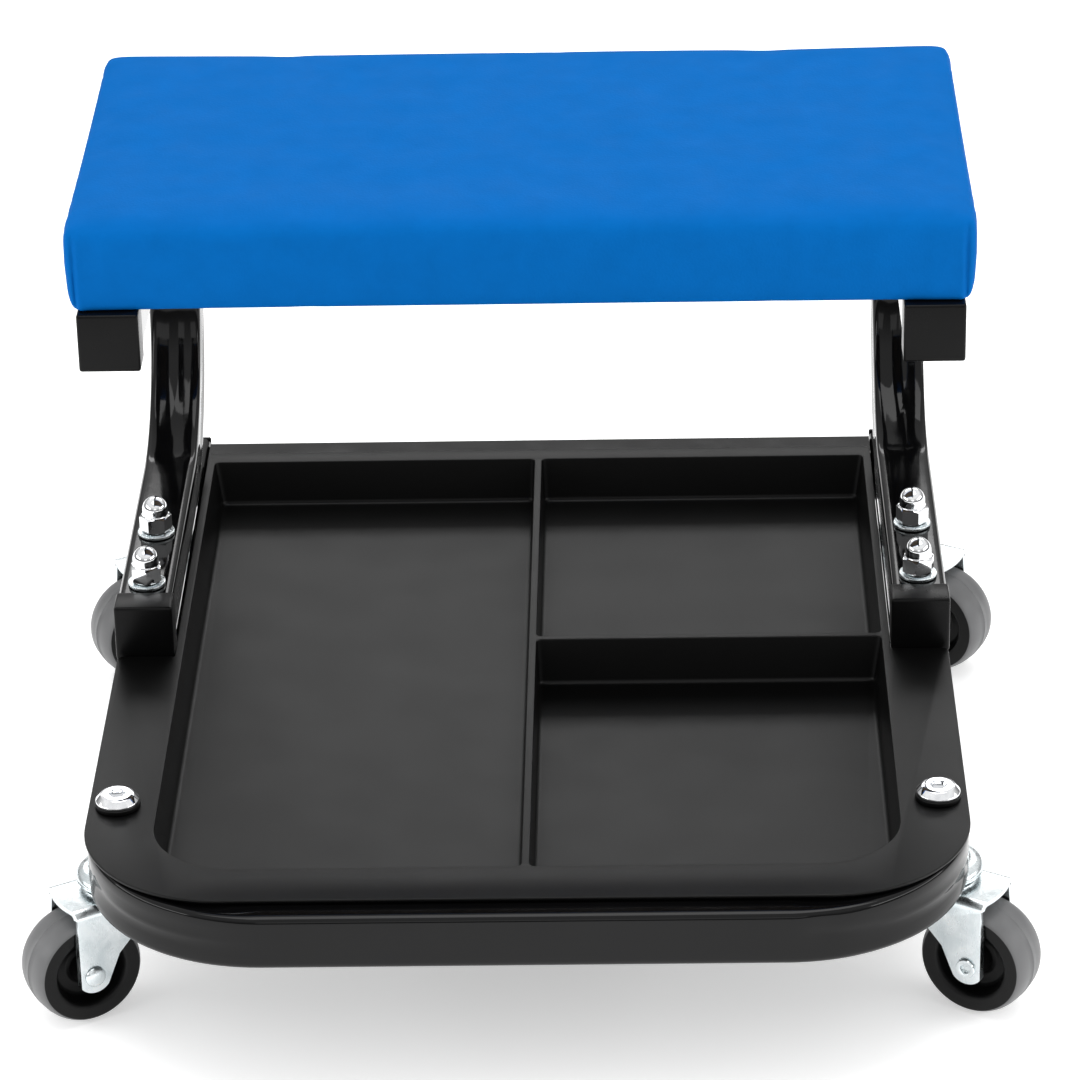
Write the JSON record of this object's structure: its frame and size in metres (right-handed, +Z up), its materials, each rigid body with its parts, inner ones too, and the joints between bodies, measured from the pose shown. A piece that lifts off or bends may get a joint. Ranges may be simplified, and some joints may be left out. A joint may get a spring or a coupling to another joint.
{
  "type": "mechanics creeper seat",
  "caption": "Rolling mechanics' seat: padded cushion on two bent square-tube legs over a compartmented tool tray in a U-shaped tube frame, on swivel casters.",
  "frame": {"origin": "on the floor, under the middle of the object's overall box", "axes": "+X to the right of a person facing the open front of the legs, +Y to the back where the legs bend, +Z up"},
  "size_m": [0.4386, 0.465, 0.332],
  "materials": {
    "seat_cover": "fine-grained blue leatherette, satin",
    "foam": "open-cell foam",
    "plywood": "raw plywood",
    "black_enamel": "gloss black enamel",
    "tray_plastic": "fine matt moulded texture",
    "cap_plastic": "satin",
    "black_washer": "satin",
    "chrome": "mirror chrome",
    "zinc_plate": "bright zinc plate",
    "bearing_steel": "polished bearing balls in grease",
    "wheel_rubber": "dark grey moulded rubber"
  },
  "bodies": {
    "root": {"base_arm_cap_left": "cap_plastic", "base_arm_cap_right": "cap_plastic", "base_frame": "black_enamel", "caster_bolt_front_left": "chrome", "caster_bolt_front_right": "chrome", "caster_bolt_rear_left": "zinc_plate", "caster_bolt_rear_right": "zinc_plate", "caster_nut_front_left": "zinc_plate", "caster_nut_front_right": "zinc_plate", "caster_nut_rear_left": "zinc_plate", "caster_nut_rear_right": "zinc_plate", "caster_race_front_left": "zinc_plate", "caster_race_front_right": "zinc_plate", "caster_race_rear_left": "zinc_plate", "caster_race_rear_right": "zinc_plate", "leg_bolt_left_front": "zinc_plate", "leg_bolt_left_rear": "zinc_plate", "leg_bolt_right_front": "zinc_plate", "leg_bolt_right_rear": "zinc_plate", "leg_left": "black_enamel", "leg_nut_left_front": "chrome", "leg_nut_left_rear": "chrome", "leg_nut_right_front": "chrome", "leg_nut_right_rear": "chrome", "leg_right": "black_enamel", "leg_washer_left_front": "zinc_plate", "leg_washer_left_rear": "zinc_plate", "leg_washer_right_front": "zinc_plate", "leg_washer_right_rear": "zinc_plate", "rail_plug_left": "cap_plastic", "rail_plug_right": "cap_plastic", "rear_crossbar": "black_enamel", "seat_arm_cap_left": "cap_plastic", "seat_arm_cap_right": "cap_plastic", "seat_board": "plywood", "seat_cover": "seat_cover", "seat_foam": "foam", "seat_screw_left_front": "zinc_plate", "seat_screw_left_rear": "zinc_plate", "seat_screw_right_front": "zinc_plate", "seat_screw_right_rear": "zinc_plate", "tray": "tray_plastic", "tray_washer_left": "black_washer", "tray_washer_right": "black_washer"},
    "swivel_front_left": {"caster_fork_front_left": "zinc_plate", "caster_balls_front_left": "bearing_steel", "caster_axle_front_left": "zinc_plate"},
    "wheel_front_left": {"caster_wheel_front_left": "wheel_rubber"},
    "swivel_front_right": {"caster_fork_front_right": "zinc_plate", "caster_balls_front_right": "bearing_steel", "caster_axle_front_right": "zinc_plate"},
    "wheel_front_right": {"caster_wheel_front_right": "wheel_rubber"},
    "swivel_rear_left": {"caster_fork_rear_left": "zinc_plate", "caster_balls_rear_left": "bearing_steel", "caster_axle_rear_left": "zinc_plate"},
    "wheel_rear_left": {"caster_wheel_rear_left": "wheel_rubber"},
    "swivel_rear_right": {"caster_fork_rear_right": "zinc_plate", "caster_balls_rear_right": "bearing_steel", "caster_axle_rear_right": "zinc_plate"},
    "wheel_rear_right": {"caster_wheel_rear_right": "wheel_rubber"}
  },
  "joints": [
    {"name": "swivel_front_left", "type": "hinge", "parent": "root", "child": "swivel_front_left", "pos_m": [-0.175, -0.1425, 0.0582], "axis": [0, 0, 1], "continuous": true},
    {"name": "wheel_spin_front_left", "type": "hinge", "parent": "swivel_front_left", "child": "wheel_front_left", "pos_m": [-0.19405, -0.1535, 0.025], "axis": [0.5, -0.866, 0], "continuous": true},
    {"name": "swivel_front_right", "type": "hinge", "parent": "root", "child": "swivel_front_right", "pos_m": [0.175, -0.1425, 0.0582], "axis": [0, 0, 1], "continuous": true},
    {"name": "wheel_spin_front_right", "type": "hinge", "parent": "swivel_front_right", "child": "wheel_front_right", "pos_m": [0.19405, -0.1535, 0.025], "axis": [0.5, 0.866, 0], "continuous": true},
    {"name": "swivel_rear_left", "type": "hinge", "parent": "root", "child": "swivel_rear_left", "pos_m": [-0.175, 0.1675, 0.0582], "axis": [0, 0, 1], "continuous": true},
    {"name": "wheel_spin_rear_left", "type": "hinge", "parent": "swivel_rear_left", "child": "wheel_rear_left", "pos_m": [-0.19405, 0.1565, 0.025], "axis": [0.5, -0.866, 0], "continuous": true},
    {"name": "swivel_rear_right", "type": "hinge", "parent": "root", "child": "swivel_rear_right", "pos_m": [0.175, 0.1675, 0.0582], "axis": [0, 0, 1], "continuous": true},
    {"name": "wheel_spin_rear_right", "type": "hinge", "parent": "swivel_rear_right", "child": "wheel_rear_right", "pos_m": [0.19405, 0.1565, 0.025], "axis": [0.5, 0.866, 0], "continuous": true}
  ]
}
